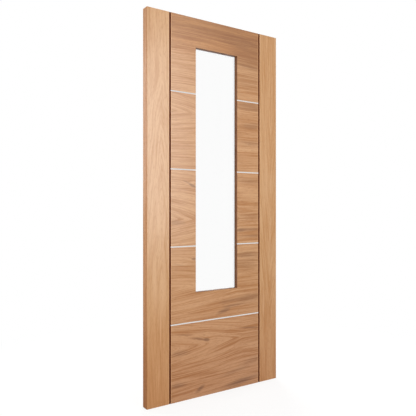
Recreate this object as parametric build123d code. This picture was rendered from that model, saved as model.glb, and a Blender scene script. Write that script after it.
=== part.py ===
"""Glazed interior door leaf, in millimetres.

A veneered solid-core leaf: two lipped stiles, a cross-grained centre with a tall narrow
window, dark grooves between stiles and centre, and aluminium inlays across the centre.
The origin is at the foot of the hinge edge, half way through the thickness. +X runs
across the leaf to the latch edge, the front face looks to -Y, and +Z is up.
"""
from build123d import *

import os

# Leaf
leaf_width = 838.0
leaf_height = 1981.0
leaf_thickness = 44.0

# Face skins and the lippings on the long edges
skin_thickness = 4.0
skin_arris = 1.0
lipping_thickness = 8.0
lipping_arris = 1.5

# Stiles, measured from the leaf's edge to the middle of the groove
stile_width = 130.0
groove_width = 7.0
groove_strip_thickness = 1.5

# Tongue and groove between the stile cores and the centre cores
tongue_reach = 12.0
tongue_thickness = 10.0
tongue_clearance = 0.2

# Aluminium inlays, which divide the leaf's height evenly
inlay_count = 4
inlay_width = 6.0
inlay_thickness = 2.0

# Window: the clear opening seen from the front
window_width = 270.0
window_head = 153.0
window_foot = 550.0

# Glazing: the glass stands in a rebate and is held by beads at the back. A bead is square
# for its land beside the glass, then splayed to a narrow flat on the back face.
glass_setback = 19.0
glass_thickness = 6.0
rebate_width = 14.0
glass_edge_gap = 2.0
lining_thickness = 6.0
bead_clearance = 0.2
bead_land = 3.0
bead_flat = 1.6

# Planes through the thickness, from the front face to the back face
front_face = -leaf_thickness / 2
back_face = leaf_thickness / 2
core_front = front_face + skin_thickness
core_back = back_face - skin_thickness
glass_front = front_face + glass_setback
glass_back = glass_front + glass_thickness

# Lines across the width
middle = leaf_width / 2
window_left = middle - window_width / 2
window_right = middle + window_width / 2
centre_left = stile_width + groove_width / 2
centre_right = leaf_width - centre_left

# Lines up the height
window_bottom = window_foot
window_top = leaf_height - window_head
inlay_heights = [leaf_height * n / (inlay_count + 1) for n in range(inlay_count, 0, -1)]

# The lining reaches this far out from the edge of the clear opening
lining_reach = rebate_width + lining_thickness

leaf_middle = Plane.YZ.offset(middle)
thickness_middle = Plane.XZ


def block(x_span, y_span, z_span):
    """A square-edged bar between two corners, given as spans along each axis."""
    spans = (x_span, y_span, z_span)
    centre = [(low + high) / 2 for low, high in spans]
    return Pos(*centre) * Box(*[high - low for low, high in spans])


def plan(x_span, y_span):
    """A rectangle in plan, as one part of a section that is drawn out up the height."""
    (x_low, x_high), (y_low, y_high) = x_span, y_span
    corner = Pos((x_low + x_high) / 2, (y_low + y_high) / 2)
    return corner * Rectangle(x_high - x_low, y_high - y_low)


def upright(section, z_low, z_high):
    """A plan section drawn out between two heights."""
    return Pos(0, 0, z_low) * extrude(section, z_high - z_low)


def window_block(margin, y_span):
    """The clear opening, widened all round by a margin, between two depths."""
    return block(
        (window_left - margin, window_right + margin),
        y_span,
        (window_bottom - margin, window_top + margin),
    )


def lipping():
    """Solid oak edge of the hinge stile, with its outer arrises eased."""
    bar = block((0, lipping_thickness), (front_face, back_face), (0, leaf_height))
    outer_arrises = bar.edges().filter_by(Axis.Z).group_by(Axis.X)[0]
    return chamfer(outer_arrises, lipping_arris)


def stile_core():
    """Core of the hinge stile, grooved down its inner edge for the centre's tongues."""
    section = plan((lipping_thickness, stile_width), (core_front, core_back))
    half_slot = tongue_thickness / 2 + tongue_clearance
    slot = plan((stile_width - tongue_reach - tongue_clearance, stile_width), (-half_slot, half_slot))
    return upright(section - slot, 0, leaf_height)


def stile_skin():
    """Front face of the hinge stile, from the lipping to the groove, eased at the groove."""
    sheet = block(
        (lipping_thickness, centre_left - groove_width), (front_face, core_front), (0, leaf_height)
    )
    groove_arris = sheet.edges().filter_by(Axis.Z).group_by(Axis.Y)[0].sort_by(Axis.X)[-1]
    return chamfer(groove_arris, skin_arris)


def groove_strip():
    """Dark strip at the bottom of the front groove beside the hinge stile."""
    return block(
        (centre_left - groove_width, centre_left),
        (core_front - groove_strip_thickness, core_front),
        (0, leaf_height),
    )


def rail_core(z_low, z_high):
    """Core across the centre, above or below the window, tongued into both stiles."""
    half_tongue = tongue_thickness / 2
    section = plan((stile_width, leaf_width - stile_width), (core_front, core_back))
    section += plan(
        (stile_width - tongue_reach, leaf_width - stile_width + tongue_reach),
        (-half_tongue, half_tongue),
    )
    return upright(section, z_low, z_high)


def mullion_core():
    """Core between the hinge stile and the window's lining, tongued into the stile."""
    half_tongue = tongue_thickness / 2
    inner = window_left - lining_reach
    section = plan((stile_width, inner), (core_front, core_back))
    section += plan((stile_width - tongue_reach, inner), (-half_tongue, half_tongue))
    return upright(section, window_bottom - lining_reach, window_top + lining_reach)


def centre_skin(window_margin):
    """Front sheet of the centre, with its window and the channels for the inlays."""
    sheet = block((centre_left, centre_right), (front_face, core_front), (0, leaf_height))
    sheet = chamfer(sheet.edges().filter_by(Axis.Z).group_by(Axis.Y)[0], skin_arris)
    for height in inlay_heights:
        sheet -= block(
            (centre_left, centre_right),
            (front_face, front_face + inlay_thickness),
            (height - inlay_width / 2, height + inlay_width / 2),
        )
    return sheet - window_block(window_margin, (front_face, core_front))


def inlays(window_margin):
    """Front inlays by place: one strip a side beside the window, or one right across."""
    strips = {}
    ends = (centre_left + skin_arris, centre_right - skin_arris)
    for number, height in enumerate(inlay_heights, 1):
        if window_bottom < height < window_top:
            spans = {
                f"{number}_left": (ends[0], window_left - window_margin),
                f"{number}_right": (window_right + window_margin, ends[1]),
            }
        else:
            spans = {f"{number}": ends}
        for place, x_span in spans.items():
            strips[place] = block(
                x_span,
                (front_face, front_face + inlay_thickness),
                (height - inlay_width / 2, height + inlay_width / 2),
            )
    return strips


def mitred_bars(offset, reach, y_span):
    """Four bars round the window with mitred corners, from an offset out of the clear opening."""
    left, right = window_left - offset, window_right + offset
    bottom, top = window_bottom - offset, window_top + offset
    inner = [(left, bottom), (right, bottom), (right, top), (left, top)]
    outer = [
        (left - reach, bottom - reach),
        (right + reach, bottom - reach),
        (right + reach, top + reach),
        (left - reach, top + reach),
    ]
    bars = {}
    for side, name in enumerate(("bottom", "right", "top", "left")):
        following = (side + 1) % len(inner)
        outline = Polyline(inner[side], inner[following], outer[following], outer[side], close=True)
        face = Plane.XZ.offset(-y_span[0]) * make_face(outline)
        bars[name] = extrude(face, y_span[0] - y_span[1])
    return bars


def linings():
    """Solid oak round the window: a lip in front of the glass and a rebate behind the lip."""
    rebate = window_block(rebate_width, (glass_front, core_back))
    bars = mitred_bars(0, lining_reach, (core_front, core_back))
    return {side: bar - rebate for side, bar in bars.items()}


def beads():
    """Loose beads that hold the glass from the back, splayed away from the opening."""
    bead_width = rebate_width - bead_clearance
    splay_width = bead_width - bead_flat
    splay_depth = back_face - glass_back - bead_land
    bars = mitred_bars(0, bead_width, (glass_back, back_face))
    opening_centre = (middle, back_face, (window_bottom + window_top) / 2)
    shaped = {}
    for side, bar in bars.items():
        back = bar.faces().sort_by(Axis.Y)[-1]
        sight_edge = back.edges().sort_by_distance(opening_centre)[0]
        shaped[side] = chamfer(sight_edge, splay_width, splay_depth, reference=back)
    return shaped


def glass_pane():
    """Clear pane, a little smaller than the rebate that it stands in."""
    return window_block(rebate_width - glass_edge_gap, (glass_front, glass_back))


def door_pieces():
    """Every piece of the leaf, by name. The back face repeats the front one."""
    pieces = {
        "hinge_lipping": lipping(),
        "hinge_stile_core": stile_core(),
        "hinge_stile_front_skin": stile_skin(),
        "front_hinge_groove_strip": groove_strip(),
        "hinge_mullion_core": mullion_core(),
    }
    for name in list(pieces):
        pieces[name.replace("hinge", "latch")] = mirror(pieces[name], about=leaf_middle)

    pieces["top_rail_core"] = rail_core(window_top + lining_reach, leaf_height)
    pieces["bottom_rail_core"] = rail_core(0, window_bottom - lining_reach)

    for name in [name for name in pieces if "front" in name]:
        pieces[name.replace("front", "back")] = mirror(pieces[name], about=thickness_middle)

    pieces["front_centre_skin"] = centre_skin(0)
    pieces["back_centre_skin"] = mirror(centre_skin(rebate_width), about=thickness_middle)
    for place, strip in inlays(0).items():
        pieces[f"front_inlay_{place}"] = strip
    for place, strip in inlays(rebate_width).items():
        pieces[f"back_inlay_{place}"] = mirror(strip, about=thickness_middle)

    for side, bar in linings().items():
        pieces[f"window_lining_{side}"] = bar
    for side, bar in beads().items():
        pieces[f"glazing_bead_{side}"] = bar
    pieces["glass_pane"] = glass_pane()
    return pieces


os.makedirs("parts", exist_ok=True)
for piece_name, piece in door_pieces().items():
    export_step(piece, f"parts/{piece_name}.step")
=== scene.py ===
"""Looks of the glazed interior door leaf, in metres, in the frame of its solids."""
import math
from collections import namedtuple

import bpy
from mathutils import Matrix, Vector


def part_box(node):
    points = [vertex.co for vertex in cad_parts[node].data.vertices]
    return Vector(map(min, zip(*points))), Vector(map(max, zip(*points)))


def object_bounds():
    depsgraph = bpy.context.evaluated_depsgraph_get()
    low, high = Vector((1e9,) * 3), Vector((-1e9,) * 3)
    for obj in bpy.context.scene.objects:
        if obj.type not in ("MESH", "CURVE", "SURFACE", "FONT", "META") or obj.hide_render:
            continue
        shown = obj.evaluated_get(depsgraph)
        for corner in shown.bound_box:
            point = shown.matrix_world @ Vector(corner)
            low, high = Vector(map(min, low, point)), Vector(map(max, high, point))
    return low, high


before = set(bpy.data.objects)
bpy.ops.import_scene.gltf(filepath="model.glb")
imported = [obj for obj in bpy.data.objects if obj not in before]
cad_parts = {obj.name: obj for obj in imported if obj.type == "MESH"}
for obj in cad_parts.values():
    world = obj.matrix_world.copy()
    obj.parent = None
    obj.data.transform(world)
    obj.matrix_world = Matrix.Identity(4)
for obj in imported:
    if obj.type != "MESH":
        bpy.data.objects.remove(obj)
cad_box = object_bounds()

# Sizes, read from the solids
leaf_low, leaf_high = cad_box
leaf_width = leaf_high.x - leaf_low.x
leaf_height = leaf_high.z - leaf_low.z
leaf_middle = leaf_width / 2
groove_low, groove_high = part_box("front_hinge_groove_strip")
groove_line = (groove_low.x + groove_high.x) / 2
groove_half = (groove_high.x - groove_low.x) / 2
glass_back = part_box("glass_pane")[1].y

# Colours of a timber's dark lines, pale lines, pores and marks
Tones = namedtuple("Tones", "dark light pore mark")

# Heart of a log: its place across the grain, where along the grain the lines begin to close on it, which
# way they close, by how much to the metre, and over what length
Heart = namedtuple("Heart", "centre start heading taper reach")

# Streaks of one size: their weight, and how many there are to the metre along and across the grain
Layer = namedtuple("Layer", "weight along across")

# Waves of the lines: how far they sway to each side, and how many there are to the metre
Waves = namedtuple("Waves", "sway along across")

# Soft ellipse on a face: its middle, its half sizes, its slope in degrees and its strength
Mark = namedtuple("Mark", "x z half_length half_width slope strength")

# Rectangular lamp: its middle, the point it faces, its sides, and its radiance against a white sheet's 1
Lamp = namedtuple("Lamp", "place target width height radiance")

# Colours of the timber, as linear red, green and blue. Marks are dark on the cross-grained face and pale on
# the upright-grained ones.
UPRIGHT_TONES = Tones(
    dark=(0.455, 0.206, 0.058, 1),
    light=(0.567, 0.310, 0.135, 1),
    pore=(0.355, 0.131, 0.010, 1),
    mark=(0.680, 0.412, 0.225, 1),
)
CROSS_TONES = Tones(
    dark=(0.374, 0.144, 0.026, 1),
    light=(0.559, 0.295, 0.129, 1),
    pore=(0.285, 0.090, 0.006, 1),
    mark=(0.200, 0.074, 0.014, 1),
)
LINING_TONES = Tones(
    dark=(0.250, 0.098, 0.030, 1),
    light=(0.375, 0.158, 0.050, 1),
    pore=(0.13, 0.052, 0.022, 1),
    mark=(0.14, 0.056, 0.024, 1),
)
CORE_TONES = Tones(
    dark=(0.58, 0.35, 0.18, 1),
    light=(0.78, 0.54, 0.32, 1),
    pore=(0.42, 0.24, 0.11, 1),
    mark=(0.42, 0.24, 0.11, 1),
)
# Pale wear and painted highlight beside the grooves
WEAR_AND_HIGHLIGHT_COLOUR = (0.78, 0.44, 0.19, 1)
# Painted shade of the grooves, on their walls and chamfers
GROOVE_SHADE_PAINT = (0.100, 0.010, 0.001, 1)
CUT_EDGE = (0.24, 0.100, 0.042, 1)
SAWN_END = (0.46, 0.27, 0.12, 1)
BEDDING = (0.240, 0.075, 0.020, 1)

# Painted shade that deepens the timber towards the foot of the leaf and on the long edges, and up to what
# height
STILE_LOWER_SHADE = (0.93, 0.78, 0.61, 1)
CENTRE_LOWER_SHADE = (0.91, 0.81, 0.79, 1)
EDGES_UPPER_SHADE = (0.83, 0.745, 0.755, 1)
EDGES_LOWER_SHADE = (0.65, 0.52, 0.33, 1)
LOWER_SHADE_REACH = 0.66

# The darker veneer above the window, and the heights between which it sets in
HEAD_SHADE = (0.85, 0.735, 0.50, 1)
HEAD_START = 1.775
HEAD_FULL = 1.850

# How far the painted groove shade and the pale wear and painted highlight beside it reach from a groove,
# how softly the painted shade ends, and how strong the wear and highlight are
GROOVE_SHADE_REACH = 0.0019
GROOVE_SHADE_FADE = 0.0004
WEAR_AND_HIGHLIGHT_REACH = 0.006
WEAR_AND_HIGHLIGHT_STRENGTH = 0.6

# Edges of a skin: how near to the leaf's ends they are sawn, and how far from a groove its painted shade
# gives way to the colour of the window's cut edge
SAWN_START = 0.0004
SAWN_FULL = 0.0002
GROOVE_EDGE_END = 0.004
WINDOW_EDGE_START = 0.006

# How deep the beads are dark behind the glass, and how softly that ends
BEDDING_DEPTH = 0.0031
BEDDING_FADE = 0.0004

# Share of a normal that points through the leaf, from which a surface counts as an edge or as a face
EDGE_SHARE = 0.80
FACE_SHARE = 0.95

# Satin lacquer, and how much of it the oak's and the lining's edges carry
LACQUER_ROUGHNESS = 0.33
LACQUER_IOR = 1.6
EDGE_LACQUER = 0.17
LINING_LACQUER = 0.4

# Surface of the timber itself: roughness of dark and of pale lines, and the relief of lines and pores
TIMBER_SPECULAR = 0.1
DARK_ROUGHNESS = 0.58
PALE_ROUGHNESS = 0.50
LINE_RELIEF = 0.3
RELIEF_STRENGTH = 0.08
RELIEF_DEPTH = 0.0003

# Streaks of the grain, from broad to fine. The weights of a kind of veneer add up to 1.
CROSS_LAYERS = (
    Layer(0.20, 1.4, 20.0),
    Layer(0.22, 2.2, 62.0),
    Layer(0.33, 3.4, 170.0),
    Layer(0.25, 7.0, 400.0),
)
UPRIGHT_LAYERS = (
    Layer(0.18, 1.4, 20.0),
    Layer(0.24, 2.6, 70.0),
    Layer(0.33, 4.6, 180.0),
    Layer(0.25, 9.0, 450.0),
)
STREAK_DETAIL = 1.5

# Wide slow waves of all lines, and the small waves of most pieces and of the stiles' skins
SLOW_WAVES = Waves(0.018, 1.7, 8.0)
SMALL_WAVES = Waves(0.0018, 7.0, 36.0)
STILE_WAVES = Waves(0.0050, 11.0, 22.0)

# The middle of the streaks' range, and how strongly they tell from it: outside the rows, and in the rows
# from the bottom one up
GRAIN_MIDDLE = 0.485
UPRIGHT_CONTRAST = 6.4
ROW_CONTRASTS = (8.0, 5.6, 6.0, 5.1, 5.2)

# How quickly the streaks change from one side of the heart to the other, to the metre
SIDE_SCALE = 14.0

# Pores: their number to the metre along the grain, beside the heart and out from it, the part of their
# noise that shows, and how strong they are
PORE_SCALES = (40.0, 90.0, 420.0)
PORE_START = 0.52
PORE_FULL = 0.72
PORE_STRENGTH = 0.42

# How sharply the lines turn at the heart, how far from it they run straight, what is left of their closing
# there, and how the rings lean through the thickness
HEART_ROUNDING = 0.003
HEART_SPREAD = 0.16
FAR_CLOSING = 0.25
RING_LEAN = 0.8

# Solid oak and the core are cut far from the heart, so that their lines run straight
OAK_HEART = Heart(centre=-0.30, start=0.0, heading=1.0, taper=0.02, reach=2.0)
CORE_HEART = Heart(centre=-0.20, start=0.0, heading=1.0, taper=0.03, reach=2.0)

# Figure of the stiles: the heart and the seed of each skin. The seeds of the front were picked by trial so
# that it looks near to the photo.
STILE_FIGURES = {
    "hinge_stile_front_skin": (Heart(0.062, 0.55, 1.0, 0.10, 1.10), 76),
    "latch_stile_front_skin": (Heart(0.778, 1.50, -1.0, 0.10, 1.10), 98),
    "hinge_stile_back_skin": (Heart(0.070, 0.90, 1.0, 0.18, 0.42), 72),
    "latch_stile_back_skin": (Heart(0.765, 1.10, -1.0, 0.16, 0.42), 84),
}

# Figure of the cross-grained rows, from the bottom row to the top one. Each row is a leaf of veneer cut near
# the heart of a log: the lines part round the heart's height and close towards the right.
ROW_HEART_HEIGHTS = (0.261, 0.570, 0.921, 1.466, 2.030)
ROW_HEART_STARTS = (0.14, 0.10, 0.12, 0.12, -0.20)
ROW_TAPERS = (0.16, 0.14, 0.23, 0.17, 0.08)
ROW_REACH = 0.45

# Shift of each row's streaks along the grain, picked by trial so that they lie near the photo's
ROW_CUTS = (40.5, 5.4, 10.8, 8.1, 27.0)

# Knots of the cross-grained face. The lines swell round a knot, over an eye that is larger than the knot.
KNOTS = (
    Mark(0.352, 0.297, 0.026, 0.012, -10, 0.75),
    Mark(0.264, 1.110, 0.030, 0.009, -24, 0.70),
    Mark(0.272, 0.726, 0.017, 0.011, 0, 0.60),
)
EYE_LENGTH = 2.6
EYE_WIDTH = 2.2
EYE_SWELL = 0.011

# Darker streaks of the cross-grained face, placed where the photo is darker
STREAKS = (
    Mark(0.310, 0.039, 0.045, 0.014, 30, 0.80),
    Mark(0.305, 0.309, 0.075, 0.010, -14, 0.65),
    Mark(0.585, 0.028, 0.165, 0.022, 6, 0.95),
    Mark(0.175, 0.083, 0.070, 0.020, 0, 0.60),
    Mark(0.185, 0.253, 0.080, 0.020, 0, 0.45),
    Mark(0.560, 0.098, 0.150, 0.018, 9, 0.40),
    Mark(0.640, 0.321, 0.100, 0.006, -7, 0.55),
    Mark(0.215, 0.341, 0.070, 0.007, -7, 0.40),
    Mark(0.460, 0.436, 0.060, 0.013, 12, 0.80),
    Mark(0.530, 0.461, 0.090, 0.012, 4, 0.65),
    Mark(0.640, 0.486, 0.130, 0.034, 0, 0.50),
    Mark(0.180, 0.699, 0.050, 0.006, -10, 0.45),
    Mark(0.620, 0.726, 0.120, 0.020, 0, 0.40),
    Mark(0.630, 0.871, 0.120, 0.014, 0, 0.50),
    Mark(0.578, 0.869, 0.050, 0.013, 4, 0.75),
    Mark(0.165, 0.921, 0.070, 0.016, 0, 0.30),
    Mark(0.630, 0.945, 0.140, 0.030, 0, 0.22),
    Mark(0.620, 1.141, 0.120, 0.026, -6, 0.30),
    Mark(0.235, 1.125, 0.040, 0.006, -22, 0.45),
    Mark(0.660, 1.451, 0.100, 0.024, 6, 0.35),
    Mark(0.630, 1.776, 0.100, 0.012, 0, 0.40),
    Mark(0.480, 1.945, 0.520, 0.110, 2, 0.36),
    Mark(0.640, 1.815, 0.200, 0.090, 4, 0.38),
    Mark(0.640, 1.700, 0.160, 0.070, 0, 0.20),
    Mark(0.630, 1.900, 0.220, 0.045, -2, 0.35),
    Mark(0.640, 1.560, 0.150, 0.030, 0, 0.42),
    Mark(0.650, 1.353, 0.120, 0.022, 0, 0.38),
    Mark(0.630, 0.690, 0.150, 0.070, 0, 0.30),
    Mark(0.660, 0.137, 0.110, 0.022, 8, 0.35),
    Mark(0.650, 0.831, 0.110, 0.011, 0, 0.40),
    Mark(0.500, 0.488, 0.080, 0.014, 6, 0.40),
)

# Paler lines of the upright-grained faces, placed where the photo is paler
STILE_STREAKS = (
    Mark(0.076, 0.395, 0.120, 0.006, 90, 0.55),
    Mark(0.067, 0.160, 0.100, 0.005, 88, 0.50),
    Mark(0.088, 0.560, 0.150, 0.024, 90, 0.50),
    Mark(0.044, 0.600, 0.190, 0.018, 92, 0.50),
    Mark(0.060, 0.990, 0.180, 0.012, 93, 0.30),
    Mark(0.096, 0.900, 0.140, 0.008, 86, 0.35),
    Mark(0.742, 0.450, 0.090, 0.008, 90, 0.45),
    Mark(0.790, 0.800, 0.160, 0.010, 88, 0.30),
    Mark(0.765, 1.150, 0.200, 0.010, 92, 0.30),
)

# A mark has its full strength where its soft spot is above the first of these. A streak shows in full where
# the grain is dark, and by a lesser share where it is pale.
MARK_FULL = 0.50
GRAIN_DARK = 0.42
GRAIN_PALE = 0.56
PALE_SHARE = 0.35

# Softwood core: the width of its staves, how far they differ, and the glue line, in widths of a stave
STAVE_WIDTH = 0.042
STAVE_TINT = (0.62, 0.38, 0.19, 1)
STAVE_DIFFERENCE = 0.35
GLUE = (0.30, 0.17, 0.08, 1)
GLUE_FULL = 0.008
GLUE_END = 0.016
GLUE_STRENGTH = 0.6
CORE_ROUGHNESS = (0.62, 0.74)

# Range that most of a noise lies in, and the detail of a fine one
NOISE_RANGE = (0.3, 0.7)
FINE_DETAIL = 3.0

# Dark strip, painted as the shade in the grooves: the colours and the roughness that it varies between, its
# grain to the metre along each axis, and the strength of its relief
STRIP_SHADE_COLOURS = ((0.050, 0.006, 0.001, 1), (0.120, 0.014, 0.002, 1))
STRIP_ROUGHNESS = (0.65, 0.80)
STRIP_GRAIN = (300.0, 60.0, 6.0)
STRIP_RELIEF = 0.10

# Aluminium: the colours and the roughness that it varies between, how metallic it is, its clouds and its
# brushing to the metre along each axis, and the brushing's harshness, strength and depth
METAL_COLOURS = ((0.76, 0.75, 0.735, 1), (0.82, 0.81, 0.795, 1))
METAL_ROUGHNESS = (0.38, 0.48)
METAL_SHARE = 0.8
METAL_CLOUDS = (9.0, 9.0, 30.0)
BRUSHING = (14.0, 900.0, 2600.0)
BRUSHING_HARSHNESS = 0.6
BRUSHING_STRENGTH = 0.08
BRUSHING_DEPTH = 0.0002

# Glass: the colours that it varies between, its handling marks to the metre along each axis, the part of
# their noise that shows, and the roughness of a mark
GLASS_COLOURS = ((0.958, 0.960, 0.959, 1), (0.966, 0.968, 0.967, 1))
GLASS_IOR = 1.5
HANDLING = (5.0, 5.0, 2.0)
HANDLING_RANGE = (0.45, 0.75)
HANDLED_ROUGHNESS = 0.02

# Rays that see the surroundings, straight, mirrored or through glass
SEEN_RAYS = ("Is Camera Ray", "Is Glossy Ray", "Is Transmission Ray")

# Floor: its size, the gap under the leaf, its own shade and glow, where it fades to white round the leaf,
# and the shade that it has for all light that isn't seen
FLOOR_HALF = 8.0
FLOOR_GAP = 0.0005
FLOOR_SHADE = (0.20, 0.20, 0.20, 1)
FLOOR_GLOW = 0.775
FADE_START = 0.6
FADE_END = 1.8
BOUNCE_SHADE = (0.25, 0.25, 0.25, 1)
WHITE = (1, 1, 1, 1)

# Light from all round, and the lamps
AMBIENT = 0.30
LAMPS = {
    "key": Lamp((-1.45, -1.95, 0.60), (0.10, 0.0, 0.60), 1.3, 2.9, 2.85),
    "side": Lamp((-1.80, -0.10, 1.48), (0.00, 0.0, 1.05), 1.0, 1.2, 5.2),
    "gloss": Lamp((1.10, -2.70, 1.66), (0.10, 0.0, 1.25), 0.95, 2.2, 7.3),
    "rim": Lamp((-1.50, 3.00, 1.95), (0.05, 0.0, 1.20), 1.0, 1.8, 6.0),
    "rear": Lamp((1.70, 2.50, 1.60), (0.45, 0.0, 1.00), 1.4, 2.0, 7.5),
    "above": Lamp((0.42, 0.0, 3.60), (0.42, 0.0, 1.98), 1.6, 1.6, 2.4),
    "far": Lamp((2.70, 0.15, 1.40), (0.84, 0.0, 1.00), 1.0, 1.6, 4.5),
}

# Camera at the photo's viewpoint, level with the middle of the leaf. Lens and sensor are in millimetres.
CAMERA_PLACE = (-1.1221, -2.2432, leaf_height / 2)
CAMERA_HEADING = (0.5551, 0.8317, 0)
CAMERA_LENS = 43.57
CAMERA_SENSOR = 36.0

# How far a seed moves a noise along each axis
SEED_STEP = (7.31, 3.17, 5.53)


class Nodes:
    """The nodes of one tree. Each call adds a node and gives back what comes out of it."""

    def __init__(self, tree):
        self.tree = tree

    def feed(self, socket, value):
        """Links an output to a socket, or sets the socket's own value."""
        if isinstance(value, bpy.types.NodeSocket):
            self.tree.links.new(value, socket)
        else:
            socket.default_value = value

    def add(self, kind, inputs=None, **settings):
        """A node of one kind, with its settings made and its sockets fed."""
        node = self.tree.nodes.new("ShaderNode" + kind)
        for name, value in settings.items():
            setattr(node, name, value)
        for key, value in (inputs or {}).items():
            self.feed(node.inputs[key], value)
        return node

    def math(self, operation, *terms):
        """Arithmetic on numbers and outputs."""
        return self.add("Math", dict(enumerate(terms)), operation=operation).outputs[0]

    def point(self, x, y, z):
        """A point made of three numbers or outputs."""
        return self.add("CombineXYZ", {"X": x, "Y": y, "Z": z}).outputs[0]

    def spread(self, value, low, high, to_low, to_high):
        """Maps one range of values to another and holds the ends."""
        inputs = {0: value, 1: low, 2: high, 3: to_low, 4: to_high}
        return self.add("MapRange", inputs).outputs[0]

    def noise(self, place, stretch, seed, detail=2.0, roughness=0.5):
        """Noise from 0 to 1, drawn out by a stretch along each axis."""
        shift = tuple(seed * step for step in SEED_STEP)
        moved = self.add("Mapping", {"Vector": place, "Location": shift, "Scale": stretch})
        inputs = {"Vector": moved.outputs[0], "Scale": 1.0, "Detail": detail, "Roughness": roughness}
        return self.add("TexNoise", inputs, noise_dimensions="3D").outputs[0]

    def mix(self, share, first, second, blend="MIX"):
        """A blend of two colours."""
        node = self.add("Mix", data_type="RGBA", blend_type=blend)
        for index, value in ((0, share), (6, first), (7, second)):
            self.feed(node.inputs[index], value)
        return node.outputs[2]


class Shader(Nodes):
    """The nodes of one material, with the place on the object and the surface ready to use."""

    def __init__(self, name):
        self.material = bpy.data.materials.new(name)
        self.material.use_nodes = True
        super().__init__(self.material.node_tree)
        self.surface = self.tree.nodes["Principled BSDF"]
        places = self.add("TexCoord").outputs
        self.place, self.normal = places["Object"], places["Normal"]
        self.x, self.y, self.z = self.add("SeparateXYZ", {"Vector": self.place}).outputs

    def bump(self, height, strength, depth):
        """A small relief, fed to the surface's normal."""
        inputs = {"Height": height, "Strength": strength, "Distance": depth}
        self.feed(self.surface.inputs["Normal"], self.add("Bump", inputs).outputs[0])

    def set(self, **values):
        """Sets or links the surface's own sockets, by their names with underscores for spaces."""
        for name, value in values.items():
            self.feed(self.surface.inputs[name.replace("_", " ")], value)


def drawn_out(axis, along, across):
    """Scales for noise that runs along the grain."""
    return tuple(along if name == axis else across for name in "XYZ")


def by_row(s, values):
    """A value that is constant over each row of the leaf's height, from the bottom row up."""
    low, high = min(values), max(values)
    ramp = s.add("ValToRGB", {"Fac": s.math("DIVIDE", s.z, leaf_height)})
    ramp.color_ramp.interpolation = "CONSTANT"
    stops = ramp.color_ramp.elements
    while len(stops) < len(values):
        stops.new(1.0)
    for number, value in enumerate(values):
        level = (value - low) / (high - low)
        stops[number].position = number / len(values)
        stops[number].color = (level, level, level, 1)
    return s.spread(ramp.outputs[0], 0.0, 1.0, low, high)


def soft_spot(s, place, mark):
    """1 at the middle of a soft ellipse on the face, falling to 0 at its rim."""
    inputs = {
        "Vector": place,
        "Location": (mark.x, 0, mark.z),
        "Rotation": (0, -math.radians(mark.slope), 0),
        "Scale": (mark.half_length, 1.0, mark.half_width),
    }
    local = s.add("Mapping", inputs, vector_type="TEXTURE")
    return s.add("TexGradient", {"Vector": local.outputs[0]}, gradient_type="SPHERICAL").outputs[1]


def sway(s, axis, waves, seed):
    """How far the lines lie to the side of a straight run, by slow waves and small ones."""
    offsets = []
    for number, kind in enumerate((SLOW_WAVES, waves)):
        swing = s.noise(s.place, drawn_out(axis, kind.along, kind.across), seed + number)
        offsets.append(s.spread(swing, 0.0, 1.0, -kind.sway, kind.sway))
    return s.math("ADD", *offsets)


def in_log(s, along, across, heart):
    """How far a place lies to the side of the log's heart, and out from it by the rings.

    The lines part at the heart and close along the grain.
    """
    run = s.math("MULTIPLY", s.math("SUBTRACT", along, heart.start), heart.heading)
    run = s.math("MINIMUM", s.math("MAXIMUM", run, 0.0), heart.reach)
    side = s.math("SUBTRACT", across, heart.centre)
    from_heart = s.math("SQRT", s.math("MULTIPLY_ADD", side, side, HEART_ROUNDING ** 2))
    closing = s.spread(from_heart, 0.0, HEART_SPREAD, 1.0, FAR_CLOSING)
    closing = s.math("MULTIPLY", heart.taper, closing)
    return side, s.math("MULTIPLY_ADD", run, closing, from_heart)


def streak_share(s, in_grain, layers, seed):
    """Streaks of all sizes added up, from dark at 0 to pale at 1."""
    share = 0.0
    for number, layer in enumerate(layers):
        stretch = (layer.along, SIDE_SCALE, layer.across)
        streak = s.noise(in_grain, stretch, seed + number, detail=STREAK_DETAIL)
        share = s.math("MULTIPLY_ADD", streak, layer.weight, share)
    return share


def add_marks(s, colour, mark_colour, on_face, share, streaks, knots):
    """A colour with streaks and knots laid over it. Only the streaks follow the grain."""
    follow = s.spread(share, GRAIN_DARK, GRAIN_PALE, 1.0, PALE_SHARE)
    for mark in (*streaks, *knots):
        cover = soft_spot(s, on_face, mark)
        if mark not in knots:
            cover = s.math("MULTIPLY", cover, follow)
        cover = s.spread(cover, 0.0, MARK_FULL, 0.0, mark.strength)
        colour = s.mix(cover, colour, mark_colour)
    return colour


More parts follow.
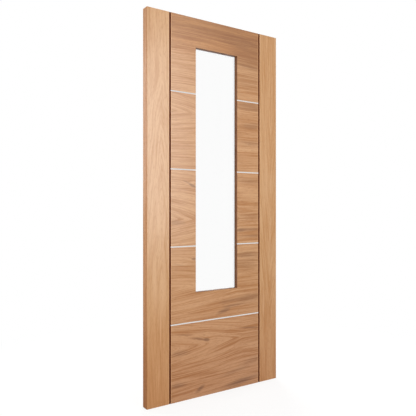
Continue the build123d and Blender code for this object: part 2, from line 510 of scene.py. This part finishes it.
def timber(
    s, axis, heart, tones, seed, layers=UPRIGHT_LAYERS, contrast=UPRIGHT_CONTRAST,
    waves=SMALL_WAVES, cut=0.0, streaks=(), knots=(), flip=False,
):
    """Colour of timber with the grain along one axis. It sets the roughness and the relief as well."""
    x = s.math("SUBTRACT", leaf_width, s.x) if flip else s.x
    along, across = (s.z, x) if axis == "Z" else (x, s.z)
    aside = sway(s, axis, waves, seed)
    across = s.math("ADD", across, aside)
    side, out = in_log(s, along, s.math("MULTIPLY_ADD", s.y, RING_LEAN, across), heart)
    on_face = s.point(x, s.y, s.math("ADD", s.z, aside))
    for knot in knots:
        eye = knot._replace(
            half_length=knot.half_length * EYE_LENGTH, half_width=knot.half_width * EYE_WIDTH
        )
        out = s.math("MULTIPLY_ADD", soft_spot(s, on_face, eye), EYE_SWELL, out)

    in_grain = s.point(s.math("ADD", along, cut), side, out)
    share = streak_share(s, in_grain, layers, seed + 2)
    tone = s.math("MULTIPLY_ADD", s.math("SUBTRACT", share, GRAIN_MIDDLE), contrast, 0.5)
    tone = s.math("MINIMUM", s.math("MAXIMUM", tone, 0.0), 1.0)
    pores = s.spread(s.noise(in_grain, PORE_SCALES, seed + 7), PORE_START, PORE_FULL, 0.0, 1.0)

    s.set(Roughness=s.spread(tone, 0.0, 1.0, DARK_ROUGHNESS, PALE_ROUGHNESS))
    relief = s.math("SUBTRACT", s.math("MULTIPLY", tone, LINE_RELIEF), pores)
    s.bump(relief, RELIEF_STRENGTH, RELIEF_DEPTH)
    colour = s.mix(tone, tones.dark, tones.light)
    colour = s.mix(s.math("MULTIPLY", pores, PORE_STRENGTH), colour, tones.pore)
    return add_marks(s, colour, tones.mark, on_face, share, streaks, knots)


def lower_shade_share(s):
    """1 at the foot of the leaf, falling to 0 where the painted shade of the foot ends."""
    return s.spread(s.z, 0.0, LOWER_SHADE_REACH, 1.0, 0.0)


def paint_lower_shade(s, colour, foot):
    """Deepens a colour with painted shade towards the foot of the leaf."""
    return s.mix(lower_shade_share(s), colour, foot, "MULTIPLY")


def on_faces(s, on_face, on_edge):
    """One value on the leaf's two faces and another on the edges that are square to them."""
    facing = s.add("SeparateXYZ", {"Vector": s.normal}).outputs[1]
    return s.spread(s.math("ABSOLUTE", facing), EDGE_SHARE, FACE_SHARE, on_edge, on_face)


def lacquer(s, edge_weight, bare=0.0):
    """Satin lacquer, full on the faces, thinner on the edges and left off where it is bare."""
    covered = s.math("SUBTRACT", 1.0, bare)
    s.set(
        Specular_IOR_Level=TIMBER_SPECULAR,
        Coat_Weight=s.math("MULTIPLY", on_faces(s, 1.0, edge_weight), covered),
        Coat_Roughness=LACQUER_ROUGHNESS,
        Coat_IOR=LACQUER_IOR,
    )


def finish_sheet(s, colour):
    """A skin's finish: pale wear and painted highlight by the grooves, painted shade in them, dark cut
    edges, sawn ends.
    """
    from_middle = s.math("ABSOLUTE", s.math("SUBTRACT", s.x, leaf_middle))
    gap = s.math("ABSOLUTE", s.math("SUBTRACT", from_middle, leaf_middle - groove_line))
    groove_shade_end = groove_half + GROOVE_SHADE_REACH
    # Pale wear and painted highlight on the face beside each groove
    wear_and_highlight = s.spread(gap, groove_shade_end, groove_half + WEAR_AND_HIGHLIGHT_REACH, WEAR_AND_HIGHLIGHT_STRENGTH, 0.0)
    colour = s.mix(wear_and_highlight, colour, WEAR_AND_HIGHLIGHT_COLOUR)
    # Painted shade of the groove, on its walls, chamfers and rim, where the lacquer is left off too
    groove_shaded = s.spread(gap, groove_shade_end - GROOVE_SHADE_FADE, groove_shade_end, 1.0, 0.0)
    colour = s.mix(groove_shaded, colour, GROOVE_SHADE_PAINT)

    half_height = leaf_height / 2
    from_mid_height = s.math("ABSOLUTE", s.math("SUBTRACT", s.z, half_height))
    sawn = s.spread(from_mid_height, half_height - SAWN_START, half_height - SAWN_FULL, 0.0, 1.0)
    at_window = s.spread(gap, groove_half + GROOVE_EDGE_END, groove_half + WINDOW_EDGE_START, 0.0, 1.0)
    # Cut edges: painted groove shade beside a groove, the window's cut edge colour beside the window
    edge_colour = s.mix(at_window, GROOVE_SHADE_PAINT, CUT_EDGE)
    edge_colour = s.mix(sawn, edge_colour, SAWN_END)
    s.set(Base_Color=s.mix(on_faces(s, 0.0, 1.0), colour, edge_colour))
    lacquer(s, 0.0, groove_shaded)


def upright_veneer(name, heart, seed):
    """Veneer of a stile, with upright grain."""
    s = Shader(name)
    colour = timber(s, "Z", heart, UPRIGHT_TONES, seed, waves=STILE_WAVES, streaks=STILE_STREAKS)
    # Painted shade towards the foot of the stile
    finish_sheet(s, paint_lower_shade(s, colour, STILE_LOWER_SHADE))
    return s.material


def cross_veneer(name, seed, flip):
    """Veneer of the centre, in rows with the grain across."""
    s = Shader(name)
    heart = Heart(
        centre=by_row(s, ROW_HEART_HEIGHTS),
        start=by_row(s, ROW_HEART_STARTS),
        heading=1.0,
        taper=by_row(s, ROW_TAPERS),
        reach=ROW_REACH,
    )
    colour = timber(
        s, "X", heart, CROSS_TONES, seed,
        layers=CROSS_LAYERS,
        contrast=by_row(s, ROW_CONTRASTS),
        cut=by_row(s, ROW_CUTS),
        streaks=STREAKS,
        knots=KNOTS,
        flip=flip,
    )
    in_head = s.spread(s.z, HEAD_START, HEAD_FULL, 0.0, 1.0)
    colour = s.mix(in_head, colour, HEAD_SHADE, "MULTIPLY")
    # Painted shade towards the foot of the centre
    finish_sheet(s, paint_lower_shade(s, colour, CENTRE_LOWER_SHADE))
    return s.material


def solid_oak(name, axis, tones, seed, edge_weight, bedded=False):
    """Solid oak with plain straight grain along one axis, and painted shade that makes the edges deeper than
    the faces.

    Where it is bedded against the glass, it is dark beside the glass.
    """
    s = Shader(name)
    # Painted shade towards the foot of the leaf
    colour = paint_lower_shade(s, timber(s, axis, OAK_HEART, tones, seed), STILE_LOWER_SHADE)
    # Painted shade on the edges, deeper towards the foot
    edge = s.mix(lower_shade_share(s), EDGES_UPPER_SHADE, EDGES_LOWER_SHADE)
    colour = s.mix(on_faces(s, 0.0, 1.0), colour, edge, "MULTIPLY")
    if bedded:
        bedding_end = glass_back + BEDDING_DEPTH
        beside_glass = s.spread(s.y, bedding_end - BEDDING_FADE, bedding_end, 1.0, 0.0)
        colour = s.mix(beside_glass, colour, BEDDING)
    s.set(Base_Color=colour)
    lacquer(s, edge_weight)
    return s.material


def softwood_core(name, axis, seed):
    """Core glued up from softwood staves, with a thin glue line between them."""
    s = Shader(name)
    colour = timber(s, axis, CORE_HEART, CORE_TONES, seed)
    place = s.math("DIVIDE", s.x if axis == "Z" else s.z, STAVE_WIDTH)
    tint = s.add("TexWhiteNoise", {"W": s.math("FLOOR", place)}, noise_dimensions="1D").outputs[0]
    colour = s.mix(s.spread(tint, 0.0, 1.0, 0.0, STAVE_DIFFERENCE), colour, STAVE_TINT)
    from_edge = s.math("PINGPONG", place, 0.5)
    glue = s.spread(from_edge, GLUE_FULL, GLUE_END, GLUE_STRENGTH, 0.0)
    s.set(
        Base_Color=s.mix(glue, colour, GLUE),
        Roughness=s.spread(tint, 0.0, 1.0, *CORE_ROUGHNESS),
    )
    return s.material


def dark_strip():
    """Strip at the bottom of the grooves, painted dark as the shade inside them."""
    s = Shader("dark_strip")
    grain = s.noise(s.place, STRIP_GRAIN, 31, detail=FINE_DETAIL)
    s.set(
        Base_Color=s.mix(grain, *STRIP_SHADE_COLOURS),
        Roughness=s.spread(grain, *NOISE_RANGE, *STRIP_ROUGHNESS),
        Specular_IOR_Level=TIMBER_SPECULAR,
    )
    s.bump(grain, STRIP_RELIEF, RELIEF_DEPTH)
    return s.material


def brushed_aluminium():
    """Satin aluminium, brushed along the strip."""
    s = Shader("brushed_aluminium")
    brushing = s.noise(s.place, BRUSHING, 41, detail=FINE_DETAIL, roughness=BRUSHING_HARSHNESS)
    cloud = s.noise(s.place, METAL_CLOUDS, 42)
    s.set(
        Base_Color=s.mix(cloud, *METAL_COLOURS),
        Metallic=METAL_SHARE,
        Roughness=s.spread(brushing, *NOISE_RANGE, *METAL_ROUGHNESS),
    )
    s.bump(brushing, BRUSHING_STRENGTH, BRUSHING_DEPTH)
    return s.material


def clear_glass():
    """Clear float glass with a trace of handling marks."""
    s = Shader("clear_glass")
    wipe = s.noise(s.place, HANDLING, 51, detail=FINE_DETAIL)
    s.set(
        Base_Color=s.mix(wipe, *GLASS_COLOURS),
        Roughness=s.spread(wipe, *HANDLING_RANGE, 0.0, HANDLED_ROUGHNESS),
        IOR=GLASS_IOR,
        Transmission_Weight=1.0,
    )
    return s.material


def dress(node, material):
    """Gives a node of the frame its finished material."""
    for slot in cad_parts[node].material_slots:
        slot.material = material


def dress_leaf():
    """Makes the materials and gives every node its own."""
    for number, (node, (heart, seed)) in enumerate(STILE_FIGURES.items(), 1):
        dress(node, upright_veneer(f"upright_veneer_{number}", heart, seed))
    dress("front_centre_skin", cross_veneer("cross_veneer_front", 3, False))
    dress("back_centre_skin", cross_veneer("cross_veneer_back", 11, True))

    upright_oak = solid_oak("solid_oak_upright", "Z", UPRIGHT_TONES, 21, EDGE_LACQUER)
    upright_bead = solid_oak("bead_upright", "Z", UPRIGHT_TONES, 27, EDGE_LACQUER, bedded=True)
    level_bead = solid_oak("bead_level", "X", UPRIGHT_TONES, 28, EDGE_LACQUER, bedded=True)
    upright_lining = solid_oak("lining_upright", "Z", LINING_TONES, 23, LINING_LACQUER)
    level_lining = solid_oak("lining_level", "X", LINING_TONES, 24, LINING_LACQUER)
    upright_core = softwood_core("core_upright", "Z", 25)
    level_core = softwood_core("core_level", "X", 26)
    strip, metal, glass = dark_strip(), brushed_aluminium(), clear_glass()

    # By a word in the node's name: the material of an upright piece, and that of a level one
    finishes = {
        "lipping": (upright_oak, upright_oak),
        "lining": (upright_lining, level_lining),
        "bead": (upright_bead, level_bead),
        "core": (upright_core, level_core),
        # The grooves' strips take the dark paint that stands for the shade in the grooves
        "groove_strip": (strip, strip),
        "inlay": (metal, metal),
        "glass_pane": (glass, glass),
    }
    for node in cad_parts:
        level = "rail" in node or node.endswith(("_top", "_bottom"))
        for word, materials in finishes.items():
            if word in node:
                dress(node, materials[level])


def seen_share(s):
    """1 for rays that see the surroundings and 0 for the rest."""
    rays = s.add("LightPath").outputs
    total = rays[SEEN_RAYS[0]]
    for name in SEEN_RAYS[1:]:
        total = s.math("MAXIMUM", total, rays[name])
    return total


def lay_floor():
    """Pale floor that keeps the leaf's shadow and turns to plain white away from it."""
    outline = ((-1, -1), (1, -1), (1, 1), (-1, 1))
    corners = [(FLOOR_HALF * x, FLOOR_HALF * y, -FLOOR_GAP) for x, y in outline]
    mesh = bpy.data.meshes.new("floor")
    mesh.from_pydata(corners, [], [(0, 1, 2, 3)])
    floor = bpy.data.objects.new("floor", mesh)
    bpy.context.scene.collection.objects.link(floor)

    s = Shader("pale_floor")
    s.tree.nodes.remove(s.surface)
    lit = s.add("BsdfDiffuse", {"Color": FLOOR_SHADE}).outputs[0]
    glow = s.add("Emission", {"Color": WHITE, "Strength": FLOOR_GLOW}).outputs[0]
    near = s.add("AddShader", {0: lit, 1: glow}).outputs[0]
    white = s.add("Emission", {"Color": WHITE, "Strength": 1.0}).outputs[0]
    under_leaf = {"Vector": s.place, "Location": (leaf_middle, 0, 0)}
    from_leaf = s.add("Mapping", under_leaf, vector_type="TEXTURE").outputs[0]
    distance = s.add("VectorMath", {0: from_leaf}, operation="LENGTH").outputs["Value"]
    fade = s.spread(distance, FADE_START, FADE_END, 0.0, 1.0)
    seen = s.add("MixShader", {0: fade, 1: near, 2: white}).outputs[0]
    bounce = s.add("BsdfDiffuse", {"Color": BOUNCE_SHADE}).outputs[0]
    surface = s.add("MixShader", {0: seen_share(s), 1: bounce, 2: seen}).outputs[0]
    s.feed(s.tree.nodes["Material Output"].inputs["Surface"], surface)
    mesh.materials.append(s.material)


def light_world():
    """White surroundings where they are seen, and a plain even level of light from them."""
    world = bpy.data.worlds.new("studio")
    world.use_nodes = True
    bpy.context.scene.world = world
    nodes = Nodes(world.node_tree)
    background = world.node_tree.nodes["Background"]
    nodes.feed(background.inputs["Color"], WHITE)
    strength = nodes.spread(seen_share(nodes), 0.0, 1.0, AMBIENT, 1.0)
    nodes.feed(background.inputs["Strength"], strength)


def unlit_group(name, nodes):
    """A collection of nodes that a lamp leaves unlit, so that they don't mirror it."""
    collection = bpy.data.collections.new(name)
    for node in nodes:
        collection.objects.link(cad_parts[node])
    for member in collection.collection_objects:
        member.light_linking.link_state = "EXCLUDE"
    return collection


def hang_lamp(name, lamp, unlit):
    """Hangs a soft lamp that faces its target and leaves a collection unlit."""
    light = bpy.data.lights.new(name, "AREA")
    light.shape = "RECTANGLE"
    light.size, light.size_y = lamp.width, lamp.height
    light.energy = lamp.radiance * lamp.width * lamp.height * math.pi
    hung = bpy.data.objects.new(name, light)
    hung.location = lamp.place
    aim = Vector(lamp.target) - Vector(lamp.place)
    hung.rotation_euler = aim.to_track_quat("-Z", "Y").to_euler()
    hung.visible_camera = False
    hung.visible_transmission = False
    bpy.context.scene.collection.objects.link(hung)
    hung.light_linking.receiver_collection = unlit


def hang_lamps():
    """Hangs every lamp. The glass mirrors none of them, and the inlays don't mirror the gloss lamp."""
    inlays = [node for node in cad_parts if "inlay" in node]
    pane_only = unlit_group("pane_only", ["glass_pane"])
    shiny = unlit_group("shiny", ["glass_pane", *inlays])
    for name, lamp in LAMPS.items():
        hang_lamp(name, lamp, shiny if name == "gloss" else pane_only)


def set_camera():
    """Sets up the camera and makes it the scene's own."""
    camera = bpy.data.cameras.new("camera")
    camera.sensor_width = CAMERA_SENSOR
    camera.lens = CAMERA_LENS
    viewpoint = bpy.data.objects.new("camera", camera)
    viewpoint.location = CAMERA_PLACE
    viewpoint.rotation_euler = Vector(CAMERA_HEADING).to_track_quat("-Z", "Y").to_euler()
    bpy.context.scene.collection.objects.link(viewpoint)
    bpy.context.scene.camera = viewpoint


dress_leaf()
lay_floor()
light_world()
hang_lamps()
set_camera()
bpy.context.scene.view_settings.view_transform = "Standard"
